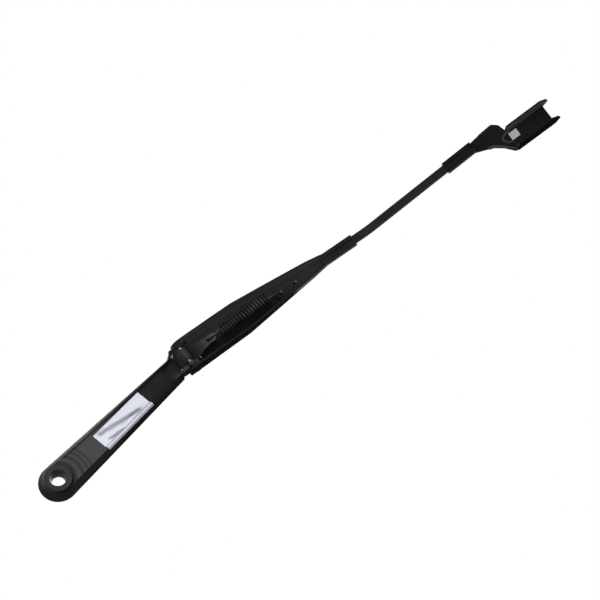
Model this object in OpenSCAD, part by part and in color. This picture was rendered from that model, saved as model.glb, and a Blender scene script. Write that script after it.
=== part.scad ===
// Car wiper arm, seen as it lies on its outer face: +Z is the underside that faces the glass.
// The origin is on the axis of the spindle bore, in the plane of the head's back.
// X runs along the head towards the hinge.

/* [Head] */
// Distance from the spindle bore to the hinge pin
head_len = 168; // [140:1:200]
// Radius of the round end, at the back
end_r = 18; // [17:0.1:19]
// Half width of the head where it meets the fork
waist_half_w = 11.8; // [11:0.1:13]
// How far the sides lean in from the back to the rims, at the fork's end
side_lean = 2.4; // [0.8:0.1:2.8]
// How far they lean in at the round end
end_lean = 5.2; // [4:0.1:6]
// Height of the rims at the round end
rim_h = 9.4; // [9:0.1:11]
// Height of the rims at the fork
fork_h = 12.5; // [11.5:0.1:13]
// Height of the recessed floor
floor_h = 8.4; // [7.4:0.1:8.6]
// Width of the rims
rim_w = 1.5; // [1.2:0.1:2]
// Height of the boss round the spindle bore
boss_h = 13.4; // [12:0.1:16]
// Radius of the boss at its top
boss_r = 12.4; // [11:0.1:13]

/* [Spindle bore] */
// Radius of the straight land at the back of the bore
bore_r = 6.1; // [5:0.05:7]
// Length of the straight land
bore_land = 4; // [3:0.1:6]
// Radius of the tapered seat where it opens
bore_mouth_r = 7.7; // [7.4:0.05:9]

/* [Hinge] */
// Height of the hinge pin above the head's back
pivot_z = 7.5; // [7.3:0.1:7.8]
// Turn of the channel against the head, seen from above
knee_deg = 11; // [6:0.5:13]
// Rise of the channel against the head, seen from the side
rise_deg = 8.4; // [6:0.1:9]
// Width across the fork
fork_w = 25; // [24:0.1:25]
// Thickness of each cheek of the fork
cheek_t = 3.9; // [3.4:0.1:4.2]
// Radius of the hinge rivet
rivet_r = 3.25; // [2.8:0.05:3.3]
// Radius of the rivet's heads
rivet_head_r = 4.8; // [4.2:0.1:6.4]
// Thickness of the rivet's heads
rivet_head_h = 0.9; // [0.6:0.1:2]
// Wall of the flanged bushes
bush_wall = 0.85; // [0.7:0.05:0.9]
// Radius of the bushes' flanges
bush_flange_r = 5.8; // [5:0.1:6]
// Thickness of the bushes' flanges
flange_t = 1.6; // [1.2:0.1:2]
// Side play between a flange and the channel's ear
side_gap = 0.1; // [0.05:0.05:0.2]
// Running clearance round the rivet
running_gap = 0.05; // [0.02:0.01:0.1]

/* [Hook link] */
// Radius of the anchor pin in the fork
anchor_r = 2; // [1.6:0.05:2.1]
// Distance from the hinge pin to the anchor pin
anchor_dist = 7; // [7:0.05:7.2]
// Direction from the hinge pin to the anchor pin, above the head's plane
anchor_deg = 122.5; // [118:0.5:126]
// Thickness of the strip
strip_t = 2.2; // [1.8:0.1:2.4]
// Side play between the strip and each cheek of the fork
strip_gap_side = 2.3; // [2.2:0.1:2.8]
// Width of the strip at the spring
strip_tip_w = 8; // [6.5:0.1:10]
// Length of the slot that the spring's loop moves in
slot_len = 7; // [6.6:0.1:7.6]

/* [Spring] */
// Thickness of the spring's wire
wire_d = 1.8; // [1.4:0.05:1.9]
// Radius of the turns, to the middle of the wire
coil_r = 4.35; // [3.6:0.05:4.4]
// Number of turns
turns = 18; // [12:1:20]
// Length of the row of turns
coil_len = 56; // [50:1:56]

/* [Channel] */
// Thickness of the pressed sheet
sheet_t = 1.6; // [1.4:0.05:1.7]
// Height of its walls at the hinge
wall_h = 17.2; // [16:0.1:19]
// Height of its walls where the taper ends
taper_wall_h = 8; // [7:0.1:9]
// Width where the taper ends
taper_w = 16.6; // [15:0.1:18]
// Distance from the hinge to where the taper starts
taper_start = 60; // [54:1:66]
// Distance from the hinge to where the taper ends
taper_end = 141; // [136:1:146]
// Distance from the hinge to the crimped sleeve
sleeve_start = 158; // [152:1:162]
// Length of the crimped sleeve
sleeve_len = 34; // [26:1:40]
// Height of the hinge pin above the channel's back
pin_over_back = 8; // [7.9:0.05:8.2]
// Radius of the rounded ears behind the hinge
ear_r = 9.2; // [8.6:0.1:9.3]
// Radius of the long folds
fold_r = 3.2; // [2.4:0.1:4]
// Radius of the small hole past the spring
jig_hole_r = 1.9; // [1:0.1:2.4]

/* [Rod] */
// Width of the flat rod
rod_w = 8.4; // [7:0.1:9]
// Thickness of the flat rod
rod_t = 3.2; // [2.6:0.1:3.6]
// Length of rod from the bend to the blade bracket
rod_len = 93; // [60:1:140]
// Straight length between the channel's sleeve and the bend
stub_len = 18; // [14:1:30]
// Angle of the bend towards the glass
rod_bend_deg = 11.1; // [4:0.1:14]
// Radius of the bend
bend_r = 60; // [30:1:80]
// Turn of the rod against the channel, seen from above
rod_turn_deg = 1.4; // [0:0.1:3]

/* [Blade bracket] */
// Length of the bracket's crimped sleeve
bracket_sleeve_len = 33; // [26:1:36]
// Thickness of the bracket's sheet
bracket_t = 1.6; // [1.3:0.05:1.7]
// Width across the blade's U channel
blade_w = 23.4; // [22:0.1:25]
// Height of its walls above its floor
blade_wall_h = 9.4; // [8:0.1:12]
// Length of its floor past the square hole's middle
blade_len = 36.8; // [32:0.1:44]
// Side of the square latch hole
latch_hole = 8.9; // [7:0.1:9.4]
// How far the ears reach past the floor
ear_reach = 7; // [3:0.1:9]

/* [Label] */
// Length of the label
label_len = 58.5; // [40:0.5:62]
// Width of the label, from its far edge to its end past the near rim
label_w = 20.9; // [19.4:0.1:21.4]
// Thickness of the label
label_t = 0.15; // [0.1:0.01:0.3]

/* [Hidden] */
$fn = 64;
black = [0.09, 0.09, 0.10];
dark_steel = [0.20, 0.20, 0.22];
grey_steel = [0.45, 0.45, 0.47];
slice = 0.02;
seam = 0.5;
through = 60;

// Half width of the head over its rims at a distance along it
function top_half_w(x) = end_r - end_lean + (waist_half_w - side_lean - end_r + end_lean) * x / waist_x;

// Points of an arc, with its ends
function arc(c, r, a0, a1, n = 12) =
    [for (i = [0 : n]) let (a = a0 + (a1 - a0) * i / n) [c.x + r * cos(a), c.y + r * sin(a)]];

function unit(v) = v / norm(v);
function turn_left(v) = [-v.y, v.x];

// Direction of a path at one of its points
function along(path, i) =
    unit(path[min(i + 1, len(path) - 1)] - path[max(i - 1, 0)]);

// Outline of a strip of even thickness that follows a path
function strip(path, w) = concat(
    [for (i = [0 : len(path) - 1]) path[i] + turn_left(along(path, i)) * w / 2],
    [for (i = [len(path) - 1 : -1 : 0]) path[i] - turn_left(along(path, i)) * w / 2]);

// Corner i of an outline, rounded with radius r
function round_corner(pts, i, r, n) =
    let (
        here = pts[i],
        back = unit(pts[(i + len(pts) - 1) % len(pts)] - here),
        ahead = unit(pts[(i + 1) % len(pts)] - here),
        half = acos(back * ahead) / 2,
        centre = here + unit(back + ahead) * r / sin(half),
        from = here + back * r / tan(half) - centre,
        to = here + ahead * r / tan(half) - centre,
        a0 = atan2(from.y, from.x),
        sweep = (atan2(to.y, to.x) - a0 + 540) % 360 - 180)
    arc(centre, r, a0, a0 + sweep, n);

// An outline with rounded corners; each point is [x, y, radius]
function rounded(pts, n = 6) =
    let (flat = [for (p = pts) [p.x, p.y]])
    [for (i = [0 : len(pts) - 1])
        each (pts[i].z > 0 ? round_corner(flat, i, pts[i].z, n) : [flat[i]])];

// Frames: the hinge, the channel, the rod in its sleeve and past its bend, the bracket and the blade's U channel
module hinge_frame() translate([head_len, 0, pivot_z]) rotate([0, 0, -knee_deg]) children();
module channel_frame() hinge_frame() rotate([0, -rise_deg, 0]) children();
module stub_frame() channel_frame() translate([sleeve_start, 0, rod_z]) rotate([0, 0, -rod_turn_deg]) children();
module rod_frame() stub_frame() translate([bend_x, 0, 0]) rotate([0, -rod_bend_deg, 0]) children();
module bracket_frame() rod_frame() translate([rod_len, 0, 0]) children();
module blade_frame()
    bracket_frame() translate(latch_at) rotate([0, 0, blade_yaw]) rotate([0, -blade_pitch, 0])
        rotate([blade_roll, 0, 0]) children();

// Extrudes a side view, drawn as [along, up], evenly to both sides
module side_extrude(w) rotate([90, 0, 0]) linear_extrude(w, center = true) children();

// A cylinder across the arm
module cross_cylinder(r, from, to) translate([0, to, 0]) rotate([90, 0, 0]) cylinder(r = r, h = to - from);

// Widths that follow the fork
channel_w = fork_w + 2 * (flange_t + side_gap + sheet_t);
pocket_half_w = fork_w / 2 - cheek_t;
strip_w = 2 * (pocket_half_w - strip_gap_side);
notch_half_w = strip_w / 2 + 0.4;

// Head
waist_x = head_len - 18;
skirt_h = 1.2;
back_inset = 1;
fork_start = -13;
pocket_r = pocket_half_w - 0.4;
pocket_x = head_len - 22;
pocket_floor = 2.4;
pocket_open_t = -11.8;
inner_arc_r = 20;
outer_arc_r = 28;
arc_step = 0.5;
cheek_r = 6.2;
anchor_boss_r = anchor_r + 1.8;
web_start = 4;
relief_r = norm([web_start, pin_over_back]) + 0.4;
anchor_at = [anchor_dist * cos(anchor_deg), anchor_dist * sin(anchor_deg)];

// A thin slice of the head's outline: the round end at x = 0
module end_slice(r, z) translate([0, 0, z]) cylinder(r = r, h = slice, $fn = 48);

// A thin slice across the waist
module waist_slice(half, z) translate([waist_x, -half, z]) cube([slice, 2 * half, slice]);

// A thin slice across the start of the fork
module fork_slice(half, z)
    hinge_frame() translate([fork_start, -half, z - pivot_z]) cube([slice, 2 * half, slice]);

// The outside of the head, before anything is taken out of it
module head_body() {
    hull() {
        end_slice(end_r - back_inset, 0);
        end_slice(end_r, skirt_h);
        end_slice(end_r - end_lean, rim_h - slice);
        waist_slice(waist_half_w - back_inset, 0);
        waist_slice(waist_half_w, skirt_h);
        waist_slice(waist_half_w - side_lean, fork_h - slice);
    }
    hull() {
        waist_slice(waist_half_w - back_inset, 0);
        waist_slice(waist_half_w, skirt_h);
        waist_slice(waist_half_w - side_lean, fork_h - slice);
        fork_slice(fork_w / 2 - back_inset, 0);
        fork_slice(fork_w / 2, skirt_h);
        fork_slice(fork_w / 2, fork_h - slice);
    }
}

// The recess between the rims, with a stepped floor towards the boss
module head_recess() {
    start = top_half_w(0) - rim_w;
    end = top_half_w(waist_x - 2) - rim_w;
    difference() {
        translate([0, 0, floor_h]) linear_extrude(through)
            polygon([[0, start], [waist_x - 2, end], [waist_x - 2, -end], [0, -start]]);
        cylinder(r = outer_arc_r, h = floor_h + arc_step);
        cylinder(r = inner_arc_r, h = floor_h + 2 * arc_step);
    }
}

// Side view of one cheek, drawn from the hinge pin
module cheek_profile() {
    top = fork_h - pivot_z;
    difference() {
        union() {
            polygon([[fork_start - 1, -pivot_z + skirt_h], [fork_start - 1, top], [anchor_at.x - 4, top],
                     anchor_at, [0, 0], [0, -pivot_z], [fork_start + 1, -pivot_z]]);
            circle(r = cheek_r);
            translate(anchor_at) circle(r = anchor_boss_r);
            polygon([[0, 0], anchor_at, anchor_at + [anchor_boss_r, 0], [cheek_r, 0]]);
        }
        difference() {
            intersection() {
                circle(r = relief_r);
                polygon([[0, 0], [-0.75 * through, -0.83 * through], [through, -through], [through, 0]]);
            }
            circle(r = cheek_r);
        }
    }
}

module head_casting() {
    color(black) difference() {
        union() {
            difference() {
                head_body();
                head_recess();
            }
            translate([0, 0, skirt_h]) cylinder(r1 = end_r - 1.5, r2 = boss_r, h = boss_h - skirt_h);
            hinge_frame() side_extrude(fork_w) cheek_profile();
        }
        translate([0, 0, -1]) cylinder(r = bore_r, h = bore_land + 2);
        translate([0, 0, bore_land]) cylinder(r1 = bore_r, r2 = bore_mouth_r, h = boss_h - bore_land + slice);
        translate([0, 0, pocket_floor]) linear_extrude(through) {
            translate([pocket_x, 0]) circle(r = pocket_r);
            polygon([[pocket_x, -pocket_r], [pocket_x, pocket_r], fork_mouth(1), fork_mouth(-1)]);
        }
        hinge_frame() translate([pocket_open_t, -pocket_half_w, -pivot_z - 1])
            cube([through, 2 * pocket_half_w, through]);
        hinge_frame() cross_cylinder(rivet_r + running_gap + bush_wall, -through / 2, through / 2);
        hinge_frame() translate([anchor_at.x, 0, anchor_at.y])
            cross_cylinder(anchor_r, -through / 2, through / 2);
    }
}

// Corner of the pocket's mouth in the head's plane, on side s
function fork_mouth(s) =
    let (t = pocket_open_t + seam, half = s * (pocket_half_w - 2 * slice))
    [head_len + t * cos(knee_deg) + half * sin(knee_deg), half * cos(knee_deg) - t * sin(knee_deg)];

// Label: flat on the floor, then up and over the near rim, whose top rises towards the fork, and down its side
label_mid_x = 80;
label_far_y = 7.6;
label_gap = 0.06;
label_foot = 1.6;
label_lean = 0.5;
module label() {
    rise = (fork_h - rim_h) / (waist_x + end_r - end_lean);
    rim_y = top_half_w(label_mid_x) - rim_w;
    edge_y = top_half_w(label_mid_x) + 4 * label_gap;
    rim_top = fork_h - rise * (waist_x - label_mid_x);
    over = label_w - label_far_y - edge_y;
    high = label_gap + label_t / 2;
    path = [[label_foot + 1.6 - rim_y, floor_h - rim_top - 0.8], [0.2 - rim_y, high], [-edge_y, high],
            [-edge_y - label_lean * over, high - over]];
    color([0.80, 0.81, 0.83]) translate([label_mid_x, 0, 0])
        rotate([0, 0, atan((top_half_w(0) - top_half_w(waist_x)) / waist_x)]) {
            translate([-label_len / 2, label_foot - rim_y, floor_h])
                cube([label_len, label_far_y + rim_y - label_foot, label_t]);
            intersection() {
                translate([0, 0, rim_top]) rotate([0, -atan(rise), 0]) rotate([90, 0, 90])
                    linear_extrude(label_len - 0.2, center = true) polygon(strip(path, label_t));
                translate([-through, -through, floor_h]) cube([2 * through, 2 * through, through]);
            }
        }
}

// Hinge hardware
module anchor_pin() {
    color(grey_steel) hinge_frame() translate([anchor_at.x, 0, anchor_at.y])
        cross_cylinder(anchor_r, -fork_w / 2 + 0.2, fork_w / 2 - 0.2);
}

module bush() {
    difference() {
        union() {
            cross_cylinder(rivet_r + running_gap + bush_wall, pocket_half_w, fork_w / 2 + flange_t / 2);
            cross_cylinder(bush_flange_r, fork_w / 2, fork_w / 2 + flange_t);
        }
        cross_cylinder(rivet_r + running_gap, 0, through);
    }
}
module bush_far() color([0.30, 0.30, 0.29]) hinge_frame() bush();
module bush_near() color([0.30, 0.30, 0.29]) hinge_frame() mirror([0, 1, 0]) bush();

module hinge_rivet() {
    half = channel_w / 2;
    color(grey_steel) hinge_frame() {
        cross_cylinder(rivet_r, -half - rivet_head_h / 2, half + rivet_head_h / 2);
        for (s = [0, 1]) mirror([0, s, 0]) {
            cross_cylinder(rivet_head_r, half, half + rivet_head_h / 2);
            translate([0, half + rivet_head_h / 2, 0]) rotate([-90, 0, 0])
                cylinder(r1 = rivet_head_r, r2 = rivet_head_r * 0.7, h = rivet_head_h / 2);
        }
    }
}

// Channel
notch_end = 9.5;
back_z = -pin_over_back;
sleeve_w = rod_w + 2 * sheet_t;
sleeve_h = rod_t + 2 * sheet_t;
lip_w = 3;
rod_z = back_z + sheet_t + rod_t / 2;
rod_start = -3;
strap_t = 101.3;
strap_len = 2.6;
strap_half_w = 3.6;
lance_gap = 0.15;
end_step = 0.3;
strap_z = back_z + sheet_t + 2.4;
strap_thick = 1.3;
strap_foot = 2.2;
hook_hole_r = 2.4;
jig_hole_t = 122.5;

// U outline of the sheet, open upwards: w across, h high, r the bottom corners
function u_outline(w, h, r) = concat(
    [[w / 2, back_z + h]], [[-w / 2, back_z + h]],
    arc([-w / 2 + r, back_z + r], r, 180, 270, 8),
    arc([w / 2 - r, back_z + r], r, 270, 360, 8));

module across(t, w, h, r, up = 0)
    translate([t, 0, up]) rotate([90, 0, 90]) linear_extrude(slice) polygon(u_outline(w, h, r));

// The long tapered trough, from behind the ears to the sleeve
module trough(inset, up) {
    r = fold_r - inset;
    hull() {
        across(-ear_r - 1, channel_w - 2 * inset, wall_h + inset, r, up);
        across(taper_start, channel_w - 2 * inset, wall_h + inset, r, up);
        across(taper_end, taper_w - 2 * inset, wall_h + inset, r, up);
        across(sleeve_start - slice, sleeve_w - 2 * inset, wall_h + inset, r * 0.6, up);
    }
}

// What the walls keep in the side view, with the rounded ears
module wall_profile() {
    circle(r = ear_r);
    polygon([[0, -through], [0, ear_r], [6, wall_h + back_z], [40, wall_h + back_z - 1.6],
             [taper_start, wall_h + back_z - 3], [100, back_z + 11.5], [taper_end, back_z + taper_wall_h],
             [sleeve_start, back_z + sleeve_h - end_step], [sleeve_start + 1, back_z + sleeve_h - end_step],
             [sleeve_start + 1, -through]]);
}

// Section of a sleeve crimped round the rod, drawn with the rod's middle at its origin
module crimp_section(t) {
    w = rod_w + 2 * t;
    h = rod_t + 2 * t;
    difference() {
        polygon(rounded([[-w / 2, -h / 2, t], [w / 2, -h / 2, t], [w / 2, h / 2, t], [-w / 2, h / 2, t]]));
        translate([-rod_w / 2, -rod_t / 2]) square([rod_w, rod_t]);
        translate([lip_w + t - w / 2, 0]) square([w - 2 * (lip_w + t), h]);
    }
}

// A crimped sleeve that starts at t
module crimped_sleeve(t, len, sheet)
    translate([t, 0, 0]) rotate([90, 0, 90]) linear_extrude(len) crimp_section(sheet);

module channel() {
    color(black) channel_frame() {
        difference() {
            intersection() {
                trough(0, 0);
                side_extrude(2 * channel_w) wall_profile();
            }
            trough(sheet_t, sheet_t);
            translate([-through, -channel_w / 2 + sheet_t, back_z - 1])
                cube([through + web_start, channel_w - 2 * sheet_t, through]);
            translate([-through, -through, back_z - 1]) cube([through - 2, 2 * through, 3]);
            translate([0, -notch_half_w, back_z - 1]) cube([notch_end, 2 * notch_half_w, 4]);
            translate([strap_t - strap_len / 2 - lance_gap, -strap_half_w, back_z - 1])
                cube([strap_len + 2 * lance_gap, 2 * strap_half_w, 4]);
            translate([strap_t + strap_len / 2 + hook_hole_r, 0, back_z - 1]) cylinder(r = hook_hole_r, h = 4);
            translate([jig_hole_t, 0, back_z - 1]) cylinder(r = jig_hole_r, h = 4);
            cross_cylinder(rivet_r, -through, through);
        }
        strap();
    }
    color(black) stub_frame() crimped_sleeve(-seam, sleeve_len + seam, sheet_t);
}

// The strap lanced up from the web, which the spring hooks round
module strap() {
    rise = strap_z + strap_thick - back_z;
    foot = strap_half_w + strap_foot;
    translate([strap_t, 0, back_z]) rotate([90, 0, 90]) linear_extrude(strap_len, center = true)
        polygon([[-foot, sheet_t / 2], [-strap_half_w, rise], [strap_half_w, rise], [foot, sheet_t / 2],
                 [foot - strap_thick, sheet_t / 4], [strap_half_w - 1, rise - strap_thick],
                 [1 - strap_half_w, rise - strap_thick], [strap_thick - foot, sheet_t / 4]]);
}

// Rod: a flat bar, straight in the channel's sleeve, then bent towards the glass
bend_x = sleeve_len + stub_len;
bend_half = bend_r * tan(rod_bend_deg / 2);
module rod() {
    bar_end = rod_len + bracket_sleeve_len - 2;
    path = concat([[rod_start - bend_x, 0]],
        arc([-bend_half, bend_r], bend_r, -90, rod_bend_deg - 90, 8),
        [[bar_end * cos(rod_bend_deg), bar_end * sin(rod_bend_deg)]]);
    color(dark_steel) stub_frame() translate([bend_x, 0, 0]) side_extrude(rod_w) polygon(strip(path, rod_t));
}

// Blade bracket
blade_yaw = -4.8;
blade_pitch = 8;
blade_roll = -5;
latch_at = [70.8, -15.5, 0.2];
blade_mid = -4.2;
blade_start = 3;
wall_start = -6;
ridge_w = 2.2;
ridge_h = 0.9;
flange_h = 2.2;

// Outline of the neck's plate in the plane of the blade's floor
neck_outline = [[-28, 21.6, 0], [-12.6, 22.6, 3], [-7, 17.6, 4], [-4.5, 7.4, 1], [blade_start, 7.4, 0],
                [blade_start, -15.8, 0], [-4, -15.8, 0], [-8.2, -14.6, 3], [-15.2, -5.6, 8], [-22.6, 0.7, 0]];

// The raised rib that stiffens the neck beside the latch hole
ridge_path = [[-2.2, 5.6], [-6.5, 5.4], [-10.6, 3.6], [-11.4, 1], [-10.6, -1.8], [-8.4, -4.4], [-4.8, -5.8]];

// The curled edge along the near side of the neck
near_edge = [[-27.5, 3.6], [-22.2, 1.6], [-15, -4.6], [-10.4, -9.6], [-7.4, -13.6], [-5.2, -14.9], [1, -15]];

module blade_walls() {
    translate([0, blade_mid, 0]) side_extrude(blade_w) polygon(rounded([
        [wall_start + 2, -bracket_t, 0], [blade_len, -bracket_t, 3], [blade_len + ear_reach, 2.2, 1],
        [blade_len + ear_reach - 1, 5, 2], [blade_len, blade_wall_h, 3], [wall_start + 4, blade_wall_h, 1.5],
        [wall_start, 2, 2]]));
}

// The sheet between the sleeve and the neck's plate, which lies higher and leans
module neck_joggle() {
    hull() {
        bracket_frame()
            translate([bracket_sleeve_len - 2, -(rod_w + bracket_t) / 2, slice - rod_t / 2 - bracket_t])
            cube([1, rod_w + bracket_t, bracket_t - 2 * slice]);
        blade_frame() translate([0, 0, slice - bracket_t]) linear_extrude(bracket_t - 2 * slice)
            polygon([[-27, 21.4], [-16, 21.8], [-21, 0.6], [-27, 4.6]]);
    }
}

module blade_bracket() {
    inner = blade_w / 2 - bracket_t;
    color(black) {
        bracket_frame() crimped_sleeve(0, bracket_sleeve_len, bracket_t);
        neck_joggle();
        blade_frame() {
            difference() {
                union() {
                    translate([0, 0, -bracket_t]) linear_extrude(bracket_t) polygon(rounded(neck_outline));
                    difference() {
                        blade_walls();
                        translate([-through / 2, blade_mid - inner, 0])
                            cube([2 * through, 2 * inner, through]);
                        translate([blade_len, blade_mid - inner, -through / 2])
                            cube([through, 2 * inner, through]);
                    }
                    translate([0, 0, -bracket_t]) linear_extrude(flange_h + bracket_t)
                        polygon(strip(near_edge, bracket_t));
                    translate([0, 0, -bracket_t / 2]) linear_extrude(ridge_h + bracket_t / 2)
                        polygon(strip(ridge_path, ridge_w));
                }
                translate([-latch_hole / 2, -latch_hole / 2, -through / 2])
                    cube([latch_hole, latch_hole, through]);
            }
        }
    }
}

// Hook link: a strip that hangs on the anchor pin, passes behind and below the rivet, and rises to the spring
strip_gap = 0.15;
wrap_r = anchor_r + strip_gap + strip_t / 2;
wrap_from_deg = 35;
wrap_to_deg = 145;
pass_z = -5.3;
elbow_r = 4.2;
knee_r = 3;
tip_at = [30, 7.6];
shoulder_at = [15, 4.6];
taper_from = 9;
bar_len = 2.6;
module hook_link() {
    wrap_end = anchor_at + wrap_r * [cos(wrap_to_deg), sin(wrap_to_deg)];
    down = [-sin(wrap_to_deg), cos(wrap_to_deg)];
    elbow = wrap_end + down * (pass_z - wrap_end.y) / down.y;
    knee = [1.56, pass_z];
    corners = [wrap_end, elbow, knee, shoulder_at, tip_at];
    path = concat(arc(anchor_at, wrap_r, wrap_from_deg, wrap_to_deg, 12),
        round_corner(corners, 1, elbow_r, 8), round_corner(corners, 2, knee_r, 4), [shoulder_at, tip_at]);
    color(dark_steel) hinge_frame() difference() {
        intersection() {
            side_extrude(2 * strip_w) polygon(strip(path, strip_t));
            translate([0, 0, -through / 2]) linear_extrude(through) polygon(rounded([
                [-through, strip_w / 2, 0], [taper_from, strip_w / 2, 6], [tip_at.x - 9, strip_tip_w / 2, 6],
                [tip_at.x, strip_tip_w / 2, 3], [tip_at.x, -strip_tip_w / 2, 3],
                [tip_at.x - 9, -strip_tip_w / 2, 6], [taper_from, -strip_w / 2, 6], [-through, -strip_w / 2, 0]]));
        }
        translate([tip_at.x - bar_len - slot_len, -slot_half_w, -through / 2])
            cube([slot_len, 2 * slot_half_w, through]);
    }
}
slot_half_w = wire_d / 2 + 0.5;

// Tension spring, drawn in the channel's frame
coil_start = 36;
coil_z0 = 4.6;
coil_z1 = 2.6;
steps = 14;
sides = 8;
coil_tilt = atan((coil_z0 - coil_z1) / coil_len);

// A point of the helix, k turns from its front end
function coil_point(k) =
    let (t = coil_start + coil_len * k / turns, a = 360 * k - 90)
    [t, coil_r * cos(a), coil_z0 + (coil_z1 - coil_z0) * k / turns + coil_r * sin(a)];

// The tip of the hook link, seen in the channel's frame
tip_in_channel = [tip_at.x * cos(rise_deg) + tip_at.y * sin(rise_deg),
                  tip_at.y * cos(rise_deg) - tip_at.x * sin(rise_deg)];
stretch = 2.4;
loop_r = strip_t / 2 + 0.85 + wire_d / 2;
front_c = [tip_in_channel.x - bar_len - stretch, tip_in_channel.y + 0.33];
rear_r = strap_thick / 2 + 0.35 + wire_d / 2;
rear_c = [strap_t + strap_len / 2 + 0.1, strap_z + strap_thick / 2];
spring_path = concat(
    [[front_c.x + 2.4, 0, front_c.y - loop_r]],
    [for (p = arc(front_c, loop_r, -90, -270, 8)) [p.x, 0, p.y]],
    [[coil_start - 2.5, 0, coil_z0 + coil_r * 0.4]],
    [for (i = [6 : turns * steps]) coil_point(i / steps)],
    [[coil_start + coil_len + 3, 0, rear_c.y + rear_r + 1.2]],
    [for (p = arc(rear_c, rear_r, 90, -90, 6)) [p.x, 0, p.y]],
    [[rear_c.x - strap_len, 0, rear_c.y - rear_r]]);

function heading(path, i) = unit(path[min(i + 1, len(path) - 1)] - path[max(i - 1, 0)]);

// Rings of the swept wire, each one square to the path
function ring(p, d, ref) =
    let (u = unit(cross(d, ref)), v = cross(u, d))
    [for (j = [0 : sides - 1]) p + wire_d / 2 * (cos(360 * j / sides) * u + sin(360 * j / sides) * v)];

// A reference direction that is carried smoothly along the path
function carry(path, i, ref) =
    i >= len(path) ? [] :
    let (d = heading(path, i), flat = unit(ref - (ref * d) * d))
    concat([flat], carry(path, i + 1, flat));

module wire(path) {
    refs = carry(path, 0, [0, 1, 0.01]);
    n = len(path);
    points = [for (i = [0 : n - 1]) each ring(path[i], heading(path, i), refs[i])];
    faces = concat(
        [[for (j = [0 : sides - 1]) j]],
        [for (i = [0 : n - 2]) for (j = [0 : sides - 1])
            let (a = i * sides + j, b = i * sides + (j + 1) % sides)
            each [[a, a + sides, b + sides], [a, b + sides, b]]],
        [[for (j = [sides - 1 : -1 : 0]) (n - 1) * sides + j]]);
    polyhedron(points, faces);
}

module tension_spring() color(grey_steel) channel_frame() wire(spring_path);

head_casting();
label();
anchor_pin();
bush_near();
bush_far();
hinge_rivet();
channel();
rod();
blade_bracket();
hook_link();
tension_spring();
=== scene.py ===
import math

import bmesh
import bpy
from mathutils import Matrix, Vector

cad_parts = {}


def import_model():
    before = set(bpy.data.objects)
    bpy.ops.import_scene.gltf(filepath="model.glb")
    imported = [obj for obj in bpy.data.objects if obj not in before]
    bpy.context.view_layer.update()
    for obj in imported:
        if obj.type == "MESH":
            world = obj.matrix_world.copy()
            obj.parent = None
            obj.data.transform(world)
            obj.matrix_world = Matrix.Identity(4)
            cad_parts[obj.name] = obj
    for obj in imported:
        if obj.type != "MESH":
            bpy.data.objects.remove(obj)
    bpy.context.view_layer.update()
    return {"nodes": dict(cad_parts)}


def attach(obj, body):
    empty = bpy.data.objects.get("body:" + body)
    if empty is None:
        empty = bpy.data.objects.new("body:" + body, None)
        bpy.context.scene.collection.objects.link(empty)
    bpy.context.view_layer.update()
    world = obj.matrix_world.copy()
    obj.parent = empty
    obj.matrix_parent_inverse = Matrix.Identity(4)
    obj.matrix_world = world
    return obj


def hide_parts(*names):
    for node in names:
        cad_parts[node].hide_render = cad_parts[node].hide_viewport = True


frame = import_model()
nodes = frame["nodes"]

MM = 0.001


def turned(axis, degrees):
    return Matrix.Rotation(math.radians(degrees), 4, axis)


# The channel's own axes: from the hinge along it, across it and up from its back
CHANNEL_START = 168 * MM
HINGE_HEIGHT = 7.5 * MM
CHANNEL_YAW = 11
CHANNEL_RISE = 8.4
CHANNEL_AXES = (Matrix.Translation((CHANNEL_START, 0, HINGE_HEIGHT)) @ turned("Z", -CHANNEL_YAW)
                @ turned("Y", -CHANNEL_RISE))

# The blade bracket's own axes: past the sleeve, the rod's turn and bend, and the neck's joggle
SLEEVE_AT = (158 * MM, 0, -4.8 * MM)
ROD_TURN = 1.4
ROD_BEND_AT = (52 * MM, 0, 0)
ROD_BEND = 11.1
LATCH_AT = (163.8 * MM, -15.5 * MM, 0.2 * MM)
NECK_YAW = 4.8
NECK_PITCH = 8
NECK_ROLL = 5
BLADE_AXES = (CHANNEL_AXES @ Matrix.Translation(SLEEVE_AT) @ turned("Z", -ROD_TURN)
              @ Matrix.Translation(ROD_BEND_AT) @ turned("Y", -ROD_BEND)
              @ Matrix.Translation(LATCH_AT) @ turned("Z", -NECK_YAW)
              @ turned("Y", -NECK_PITCH) @ turned("X", -NECK_ROLL))


# Shader maths: a socket that adds Math nodes when it is used in an expression
class Sock:
    def __init__(self, finish, out):
        self.finish = finish
        self.out = out

    def _math(self, op, *values):
        return self.finish.node("ShaderNodeMath", {"operation": op}, dict(enumerate(values)))

    def __add__(self, other):
        return self._math("ADD", self, other)

    def __radd__(self, other):
        return self._math("ADD", other, self)

    def __sub__(self, other):
        return self._math("SUBTRACT", self, other)

    def __rsub__(self, other):
        return self._math("SUBTRACT", other, self)

    def __mul__(self, other):
        return self._math("MULTIPLY", self, other)

    def __rmul__(self, other):
        return self._math("MULTIPLY", other, self)

    def __truediv__(self, other):
        return self._math("DIVIDE", self, other)

    def __pow__(self, other):
        return self._math("POWER", self, other)

    def __abs__(self):
        return self._math("ABSOLUTE", self)

    def clamp(self, low=0.0, high=1.0):
        return self._math("MINIMUM", self._math("MAXIMUM", self, low), high)

    # From 0 at low to 1 at high, with soft ends
    def smooth(self, low, high):
        return self.finish.node("ShaderNodeMapRange", {"interpolation_type": "SMOOTHSTEP"},
                                {"Value": self, "From Min": low, "From Max": high})


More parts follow.
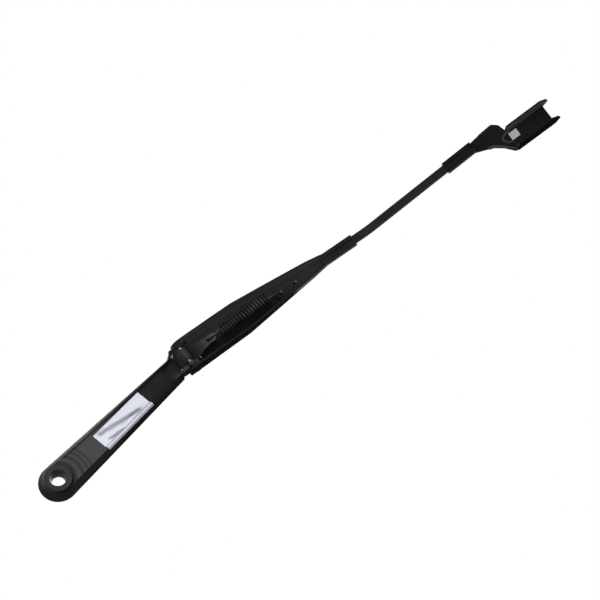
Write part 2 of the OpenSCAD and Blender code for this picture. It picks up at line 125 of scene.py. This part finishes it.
# The nodes of a material or world under construction
class Finish:
    def __init__(self, owner):
        self.owner = owner
        owner.use_nodes = True
        self.tree = owner.node_tree
        self.tree.nodes.clear()

    # Makes any node and returns one of its outputs, where it has any
    def node(self, kind, settings=None, values=None, output=0):
        made = self.tree.nodes.new(kind)
        for key, value in (settings or {}).items():
            setattr(made, key, value)
        for key, value in (values or {}).items():
            if isinstance(value, Sock):
                self.tree.links.new(value.out, made.inputs[key])
            else:
                made.inputs[key].default_value = value
        return Sock(self, made.outputs[output]) if made.outputs else None

    def place(self):
        return self.node("ShaderNodeTexCoord", output="Object")

    def facing(self):
        return self.node("ShaderNodeTexCoord", output="Normal")

    def part(self, vector, axis):
        return self.node("ShaderNodeSeparateXYZ", None, {0: vector}, output=axis)

    def stretched(self, scale, turn=(0, 0, 0)):
        return self.node("ShaderNodeMapping", None,
                         {"Vector": self.place(), "Scale": scale, "Rotation": turn})

    def noise(self, scale, detail=2.0, rough=0.5, where=None):
        values = {"Vector": where or self.place(), "Scale": scale, "Detail": detail,
                  "Roughness": rough}
        return self.node("ShaderNodeTexNoise", {"noise_dimensions": "3D"}, values)

    # The slow clouds of dust and wear that all the black paint has
    def cloud(self):
        return self.noise(26.0, 4.0, 0.6)

    def mix(self, mask, low, high):
        return self.node("ShaderNodeMix", {"data_type": "RGBA"}, {0: mask, 6: low, 7: high},
                         output=2)

    def bump(self, height, distance):
        return self.node("ShaderNodeBump", None,
                         {"Height": height, "Distance": distance, "Strength": 1.0})

    # Light Path's answer to where the white background shows: to camera, in metal and in glass
    def shows_background(self):
        rays = [self.node("ShaderNodeLightPath", output=kind)
                for kind in ("Is Camera Ray", "Is Glossy Ray", "Is Transmission Ray")]
        return (rays[0] + rays[1] + rays[2]).clamp()

    def blend(self, factor, first, second):
        return self.node("ShaderNodeMixShader", None, {0: factor, 1: first, 2: second})

    def done(self, shader, kind="ShaderNodeOutputMaterial"):
        self.node(kind, None, {0: shader})
        return self.owner

    def painted(self, **values):
        named = {key.replace("_", " "): value for key, value in values.items()}
        return self.done(self.node("ShaderNodeBsdfPrincipled", None, named))


def new_finish(name):
    return Finish(bpy.data.materials.new(name))


def grey(value, blue=1.0):
    return (value, value, value * blue, 1)


# How strongly the surfaces shine: a casting, a sheet, the bracket, the web, and bare steel
CAST_GLOSS = 0.06
SHEET_GLOSS = 0.09
BRACKET_GLOSS = 0.06
WEB_GLOSS = 0.04
STEEL_GLOSS = 0.2

# Where clouds turn into stains
STAIN = (0.35, 0.70)

FINE_PEEL = 0.01 * MM
COARSE_PEEL = 0.02 * MM


# Black paint over metal: fine orange peel, clouds, and a little dust in specks
def black_paint(name, dark, light, roughness, gloss=SHEET_GLOSS, peel_scale=600.0):
    f = new_finish(name)
    peel = f.noise(peel_scale)
    cloud = f.cloud()
    speck = f.noise(900.0, 1.0).smooth(0.62, 0.75)
    colour = f.mix(cloud.smooth(*STAIN), grey(dark, 1.12), grey(light, 1.06))
    dusty = f.mix(speck * 0.10, colour, grey(0.085))
    dull = roughness + (cloud - 0.5) * 0.22 + speck * 0.12
    return f.painted(Base_Color=dusty, Roughness=dull.clamp(0.2, 0.9),
                     Normal=f.bump(peel, FINE_PEEL), Specular_IOR_Level=gloss)


# Rings of painted shade round the spindle, round the boss and on the floor's shallow steps from
# the die, in mm: middle, half of the width; and how dark they are
SHADE_RINGS = ((15.0, 3.5, 0.75), (22.5, 2.4, 0.75), (27.7, 2.2, 0.6), (32.2, 2.4, 0.5))


# The casting's paint, with painted light: a painted highlight on the floor by the boss and on the
# near cheek's top, painted shade towards the hinge, on the far rim and in rings round the spindle
def cast_paint():
    f = new_finish("black paint on the casting")
    x, y = f.part(f.place(), 0), f.part(f.place(), 1)
    up = f.part(f.facing(), 2).smooth(0.6, 0.95)
    cloud = f.cloud()
    stain = cloud.smooth(*STAIN)
    radius = (x * x + y * y) ** 0.5

    def ring(middle, half):
        off = abs(radius - middle + (cloud - 0.5) * (2 * MM))
        return 1 - off.smooth(half * 0.2, half)

    # Rings of painted shade round the boss and along the floor's steps round the spindle
    ring_shade = sum(ring(middle * MM, half * MM) * depth for middle, half, depth in SHADE_RINGS) * up
    bright_end = 1 - x.smooth(45 * MM, 105 * MM)
    # Painted shade on the far rim's inner slope, picked by which way its faces turn
    far_rim_shade = y.smooth(7.5 * MM, 9.5 * MM) * (0 - f.part(f.facing(), 1)).smooth(0.2, 0.5)
    # Painted shade on the near side of the floor towards the hinge, left off the near cheek's top
    near = 1 - (y + (cloud - 0.5) * (4 * MM)).smooth(-9 * MM, 1 * MM)
    # Painted highlight on the near cheek's top
    lit_cheek_top = x.smooth(139 * MM, 144 * MM) * up
    shaded = near * x.smooth(85 * MM, 120 * MM) * up * (1 - lit_cheek_top)
    # Painted highlight: the floor by the boss is lighter, fading towards the hinge
    painted_highlight_by_boss = bright_end * up * radius.smooth(13 * MM, 18 * MM)
    dull = f.mix(stain, grey(0.009, 1.12), grey(0.016, 1.06))
    highlight_colour = f.mix(stain, grey(0.034, 1.08), grey(0.044, 1.04))
    colour = f.mix(painted_highlight_by_boss, dull, highlight_colour)
    colour = f.mix(far_rim_shade, colour, grey(0.012, 1.05))
    colour = f.mix(near * lit_cheek_top * 0.9, colour, grey(0.042, 1.08))
    colour = f.mix((ring_shade * 0.8 + shaded * 0.7).clamp(), colour, grey(0.004, 1.2))
    return f.painted(Base_Color=colour, Roughness=(0.42 + (cloud - 0.5) * 0.22).clamp(0.2, 0.9),
                     Normal=f.bump(f.noise(900.0), COARSE_PEEL), Specular_IOR_Level=CAST_GLOSS,
                     Coat_Weight=((bright_end * 0.22 - ring_shade * 0.12) * up).clamp(),
                     Coat_Roughness=0.42)


# The dull web inside the channel, with painted shade: darker towards its near wall, as its shadow
# would be, and less so further along
def web_paint():
    f = new_finish("black paint on the web")
    x, y = f.part(f.place(), 0) - CHANNEL_START, f.part(f.place(), 1)
    cosine, sine = math.cos(math.radians(CHANNEL_YAW)), math.sin(math.radians(CHANNEL_YAW))
    along = x * cosine - y * sine
    across = x * sine + y * cosine
    cloud = f.noise(40.0, 4.0, 0.6)
    unshaded_side = (across + (cloud - 0.5) * (4 * MM)).smooth(-2 * MM, 7 * MM)
    unshaded_part = (unshaded_side + along.smooth(85 * MM, 135 * MM)).clamp()
    dusty = f.mix(cloud.smooth(*STAIN), grey(0.013, 1.1), grey(0.019, 1.06))
    # The near wall's painted shade, mixed over the dusty paint
    return f.painted(Base_Color=f.mix(unshaded_part, grey(0.0035, 1.3), dusty),
                     Roughness=(0.55 + (cloud - 0.5) * 0.2).clamp(),
                     Normal=f.bump(f.noise(600.0), FINE_PEEL), Specular_IOR_Level=WEB_GLOSS,
                     Coat_Weight=(unshaded_part * 0.10).clamp(), Coat_Roughness=0.5)


# Oiled wire, with drawing marks along it
def spring_wire():
    f = new_finish("spring wire")
    film = f.noise(120.0, 3.0)
    drawn = f.noise(700.0, 2.0, 0.6, f.stretched((0.25, 1, 1)))
    return f.painted(Base_Color=f.mix(film.smooth(*STAIN), grey(0.014, 1.1), grey(0.045, 1.1)),
                     Metallic=0.55, Roughness=(0.36 + film * 0.2).clamp(),
                     Normal=f.bump(drawn, COARSE_PEEL), Specular_IOR_Level=STEEL_GLOSS)


# Rolled strip, with an oil film
def hook_strip():
    f = new_finish("hook strip")
    film = f.noise(60.0, 4.0, 0.6)
    rolled = f.noise(300.0, 2.0, 0.6, f.stretched((1, 0.15, 1)))
    return f.painted(Base_Color=f.mix(film.smooth(0.35, 0.75), grey(0.016, 1.1), grey(0.040, 1.06)),
                     Metallic=0.5, Roughness=(0.38 + rolled * 0.2).clamp(),
                     Normal=f.bump(rolled, COARSE_PEEL), Specular_IOR_Level=STEEL_GLOSS)


def pin_steel():
    f = new_finish("pin steel")
    film = f.noise(150.0, 3.0)
    return f.painted(Base_Color=f.mix(film.smooth(0.3, 0.7), grey(0.10), grey(0.32)), Metallic=0.9,
                     Roughness=(0.28 + film * 0.2).clamp(), Normal=f.bump(film, FINE_PEEL))


def bush_plastic():
    f = new_finish("bush plastic")
    grain = f.noise(500.0)
    return f.painted(Base_Color=f.mix(grain, grey(0.02), grey(0.04)),
                     Roughness=(0.45 + grain * 0.2).clamp(), Normal=f.bump(grain, COARSE_PEEL))


# The label's start, its far edge and its size, and how much it lies aslant
LABEL_BACK = 50.8 * MM
LABEL_FAR = 7.6 * MM
LABEL_LENGTH = 58.5 * MM
LABEL_WIDTH = 19.6 * MM
LABEL_TILT = 0.024

# Grey reflections in the foil: start and end in parts of its length and width, half of the
# streak's width, and how dark it is
STREAKS = (
    ((0.06, 0.15), (0.84, 0.70), 0.18, 0.78),
    ((0.13, 0.66), (0.42, 0.80), 0.12, 0.80),
    ((0.42, 0.60), (0.95, 0.62), 0.09, 0.25),
)


# Foil label: lavender white, with soft grey streaks of painted reflection that run aslant, and a
# greyer edge of painted shade over the rim
def label_foil():
    f = new_finish("label foil")
    x, y = f.part(f.place(), 0) - LABEL_BACK, f.part(f.place(), 1)
    wander = f.noise(70.0, 3.0, 0.55) - 0.5
    along = x / LABEL_LENGTH
    across = (LABEL_FAR - y + x * LABEL_TILT) / LABEL_WIDTH + wander * 0.22

    def streak(start, end, half, depth):
        slope = (end[1] - start[1]) / (end[0] - start[0])
        off = abs(across - (along - start[0]) * slope - start[1])
        begins = along.smooth(start[0] - 0.05, start[0] + 0.06)
        ends = along.smooth(end[0] - 0.06, end[0] + 0.05)
        return (1 - off.smooth(half * 0.15, half)) * begins * (1 - ends) * depth

    grain = f.noise(420.0, 3.0, 0.6, f.stretched((0.35, 1.0, 1.0), (0, 0, math.radians(-12))))
    # Painted shade on the edge that goes over the rim
    rim_shade = across.smooth(0.80, 1.02) * 0.35
    streaks = sum(streak(*place) for place in STREAKS) + rim_shade
    colour = f.mix((streaks * (0.6 + grain * 0.9)).clamp(),
                   (0.66, 0.67, 0.74, 1), (0.11, 0.11, 0.13, 1))
    fibre = f.noise(900.0)
    return f.painted(Base_Color=f.mix(fibre * 0.12, colour, grey(0.9)), Metallic=0.1,
                     Roughness=(0.42 + fibre * 0.1).clamp(),
                     Normal=f.bump(f.noise(110.0), 0.2 * MM))


# A copy of a node's solid with real rounded edges, which stands for the node
def rounded_copy(node, name, body, finish, edge, segments=3, min_angle=28):
    mesh = nodes[node].data.copy()
    bm = bmesh.new()
    bm.from_mesh(mesh)
    bmesh.ops.remove_doubles(bm, verts=bm.verts, dist=2e-6)
    bmesh.ops.dissolve_limit(bm, angle_limit=math.radians(1), verts=bm.verts, edges=bm.edges)
    bm.to_mesh(mesh)
    bm.free()
    mesh.materials.clear()
    mesh.materials.append(finish)
    piece = bpy.data.objects.new(name, mesh)
    bpy.context.scene.collection.objects.link(piece)
    for face in mesh.polygons:
        face.use_smooth = True
    bevel = piece.modifiers.new("rounded edges", "BEVEL")
    bevel.width = edge
    bevel.segments = segments
    bevel.limit_method = "ANGLE"
    bevel.angle_limit = math.radians(min_angle)
    bevel.use_clamp_overlap = True
    bevel.miter_outer = "MITER_ARC"
    flat = piece.modifiers.new("flat faces stay flat", "WEIGHTED_NORMAL")
    flat.weight = 100
    flat.keep_sharp = True
    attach(piece, body)
    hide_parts(node)
    return piece


# Gives the faces that a test picks, in the axes of their piece, a finish of their own
def paint_faces(piece, axes, choices):
    into = axes.inverted()
    turn = into.to_3x3()
    for finish, _ in choices:
        piece.data.materials.append(finish)
    for face in piece.data.polygons:
        spot, facing = into @ face.center, turn @ face.normal
        for slot, (_, suits) in enumerate(choices, 1):
            if suits(spot, facing):
                face.material_index = slot


CHANNEL_OPEN_END = 160 * MM
WEB_TOP = -4 * MM


def channel_wall(spot, facing):
    return spot.x < CHANNEL_OPEN_END and abs(facing.y) > 0.5 and facing.y * spot.y < 0


def channel_web(spot, facing):
    return spot.x < CHANNEL_OPEN_END and facing.z > 0.5 and spot.z < WEB_TOP


def bracket_far_wall(spot, facing):
    return facing.y < -0.5 and spot.x > -2 * MM and spot.y > 1 * MM and spot.z > 0.5 * MM


def bracket_ridge(spot, facing):
    on_top = facing.z > 0.5 and spot.z > 0.6 * MM
    return on_top and -14 * MM < spot.x < -1 * MM and abs(spot.y) < 8 * MM


sheet_black = black_paint("black paint on the sheet", 0.006, 0.012, 0.40)
rod_black = black_paint("black paint on the rod", 0.008, 0.015, 0.36, peel_scale=500.0)
bracket_black = black_paint("black paint on the bracket", 0.004, 0.008, 0.42, BRACKET_GLOSS)
# Painted light: the channel's inner walls and the bracket's far inner wall get black paint made
# lighter, as if lit
lit_wall_paint = black_paint("black paint painted lighter inside the channel", 0.066, 0.082, 0.5)
# A painted highlight on the raised ridge by the latch hole
ridge_highlight_paint = black_paint("painted highlight on the ridge", 0.030, 0.050, 0.45)

rounded_copy("head_casting", "head", "head", cast_paint(), 0.7 * MM)
shell = rounded_copy("channel", "channel_shell", "arm", sheet_black, 0.45 * MM)
paint_faces(shell, CHANNEL_AXES, ((lit_wall_paint, channel_wall), (web_paint(), channel_web)))
rounded_copy("rod", "rod_bar", "arm", rod_black, 0.8 * MM)
bracket = rounded_copy("blade_bracket", "bracket", "arm", bracket_black, 0.45 * MM)
paint_faces(bracket, BLADE_AXES, ((lit_wall_paint, bracket_far_wall), (ridge_highlight_paint, bracket_ridge)))
rounded_copy("hinge_rivet", "rivet", "arm", sheet_black, 0.5 * MM)
rounded_copy("hook_link", "hook", "hook", hook_strip(), 0.35 * MM)
rounded_copy("bush_near", "near_bush", "head", bush_plastic(), 0.2 * MM)
rounded_copy("bush_far", "far_bush", "head", bush_plastic(), 0.2 * MM)
rounded_copy("anchor_pin", "anchor", "head", pin_steel(), 0.2 * MM)
rounded_copy("label", "label_sheet", "head", label_foil(), 0.03 * MM, segments=1)


# The spring's wire, rounder than its solid
def spring_piece():
    piece = rounded_copy("tension_spring", "spring", "spring", spring_wire(), 0.1 * MM)
    piece.modifiers.clear()
    smooth = piece.modifiers.new("round wire", "SUBSURF")
    smooth.levels = 1
    smooth.render_levels = 1


spring_piece()


# A card of the studio: it moves with a body, and the rays that are named don't see it
def stage_card(card, name, body, axes, material, unseen_by):
    card.name = name
    card.matrix_world = axes
    card.data.materials.append(material)
    for ray in unseen_by:
        setattr(card, "visible_" + ray, False)
    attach(card, body)


# Shade seen through a small hole: a card close under it that shows only from the open side
def shade_card(name, axes, place, radius, glow):
    bpy.ops.mesh.primitive_circle_add(vertices=24, radius=radius, fill_type="NGON")
    f = new_finish(name)
    material = f.done(f.blend(f.node("ShaderNodeNewGeometry", output="Backfacing"),
                              f.node("ShaderNodeEmission", None, {"Color": grey(glow, 1.05)}),
                              f.node("ShaderNodeBsdfTransparent")))
    stage_card(bpy.context.object, name, "arm", axes @ Matrix.Translation(place), material,
               ("diffuse", "glossy", "shadow", "transmission"))


# A dark card beside a body that only reflections show
def dark_card(name, body, axes, place, length, width):
    bpy.ops.mesh.primitive_plane_add(size=1)
    material = new_finish(name).painted(Base_Color=grey(0.01), Roughness=1.0,
                                        Specular_IOR_Level=0.0)
    spread = Matrix.Diagonal((length, width, 1, 1))
    stage_card(bpy.context.object, name, body, axes @ Matrix.Translation(place) @ spread,
               material, ("camera", "diffuse", "shadow", "transmission"))


# Below the channel's back and below the latch hole, and how much light the cards give
UNDER_BACK = -8.4 * MM
UNDER_LATCH = -1.5 * MM
DARK = 0.006
HALF_LIGHT = 0.36

for name, axes, place, radius, glow in (
    ("shade under the anchor hole", CHANNEL_AXES, (105 * MM, 0.6 * MM, UNDER_BACK), 4.8, DARK),
    ("shade under the far hole", CHANNEL_AXES, (122.8 * MM, 0.5 * MM, UNDER_BACK), 4, DARK),
    ("shade under the notch", CHANNEL_AXES, (10 * MM, -5 * MM, UNDER_BACK), 4.5, DARK),
    ("shade under the latch hole", BLADE_AXES, (0.5 * MM, 1.4 * MM, UNDER_LATCH), 7.5, HALF_LIGHT),
):
    shade_card(name, axes, place, radius * MM, glow)

HEAD_AXES = Matrix.Identity(4)
for name, body, axes, place, length, width in (
    ("dark card by the channel", "arm", CHANNEL_AXES, (0.055, -0.16, -0.03), 0.14, 0.30),
    ("dark card by the head", "head", HEAD_AXES, (0.06, -0.17, -0.02), 0.21, 0.30),
    ("dark card by the bracket", "arm", BLADE_AXES, (0.02, -0.11, -0.03), 0.10, 0.20),
):
    dark_card(name, body, axes, place, length, width)


# The floor, well below the folded arm: white where the background shows and clear from beneath
FLOOR_MIDDLE = (0.25, 0, -0.42)
FLOOR_SIZE = 6


def floor():
    bpy.ops.mesh.primitive_plane_add(size=FLOOR_SIZE, location=FLOOR_MIDDLE)
    plane = bpy.context.object
    plane.name = "floor"
    f = new_finish("pale floor")
    path = f.shows_background()
    behind = f.node("ShaderNodeNewGeometry", output="Backfacing")
    shade = f.node("ShaderNodeBsdfDiffuse", None, {"Color": grey(0.05)})
    white = f.node("ShaderNodeEmission", None, {"Strength": 1.0})
    clear = f.node("ShaderNodeBsdfTransparent")
    plane.data.materials.append(
        f.done(f.blend(behind * path, f.blend(path, shade, white), clear)))


# A pale world that lights the object, white where the background shows
SKY_COLOUR = (0.92, 0.99, 1.12, 1)
SKY_STRENGTH = 0.25


def world():
    sky = bpy.data.worlds.new("studio")
    bpy.context.scene.world = sky
    f = Finish(sky)
    kind = "ShaderNodeBackground"
    plain = f.node(kind, None, {"Color": SKY_COLOUR, "Strength": SKY_STRENGTH})
    white = f.node(kind, None, {"Color": grey(1), "Strength": 1.0})
    f.done(f.blend(f.shows_background(), plain, white), "ShaderNodeOutputWorld")


def lamp(name, place, target, size, power):
    data = bpy.data.lights.new(name, "AREA")
    data.shape = "DISK"
    data.size = size
    data.energy = power
    light = bpy.data.objects.new(name, data)
    light.location = place
    light.rotation_euler = (Vector(target) - Vector(place)).to_track_quat("-Z", "Y").to_euler()
    light.visible_camera = False
    bpy.context.scene.collection.objects.link(light)


# The camera: where it stands, what it looks at and how it is rolled
CAMERA_TARGET = Vector((0.28611, -0.03375, 0.0))
CAMERA_AZIMUTH = math.radians(32.647)
CAMERA_HEIGHT = math.radians(61.400)
CAMERA_ROLL = math.radians(9.683)
CAMERA_DISTANCE = 1.66811
CAMERA_LENS = 106.156


def camera():
    data = bpy.data.cameras.new("camera")
    data.lens = CAMERA_LENS
    data.sensor_width = 36
    data.clip_start = 0.05
    data.clip_end = 30
    eye = bpy.data.objects.new("camera", data)
    level = math.cos(CAMERA_HEIGHT)
    back = Vector((-level * math.cos(CAMERA_AZIMUTH), -level * math.sin(CAMERA_AZIMUTH),
                   math.sin(CAMERA_HEIGHT)))
    right = Vector((0, 0, 1)).cross(back).normalized()
    up = back.cross(right)
    stand = Matrix((right, up, back)).transposed() @ Matrix.Rotation(CAMERA_ROLL, 3, "Z")
    eye.matrix_world = Matrix.Translation(CAMERA_TARGET + back * CAMERA_DISTANCE) @ stand.to_4x4()
    bpy.context.scene.collection.objects.link(eye)
    bpy.context.scene.camera = eye


floor()
world()
lamp("key", (-0.45, -0.45, 1.8), (0.25, 0, 0), size=0.8, power=24)
lamp("sheen", (0.147, 0.131, 0.414), (0.03, 0, 0), size=0.12, power=0.28)
lamp("fill from beneath", (0.25, 0.05, -0.40), (0.25, 0, 0), size=0.5, power=1.6)
camera()
bpy.context.scene.view_settings.view_transform = "Standard"
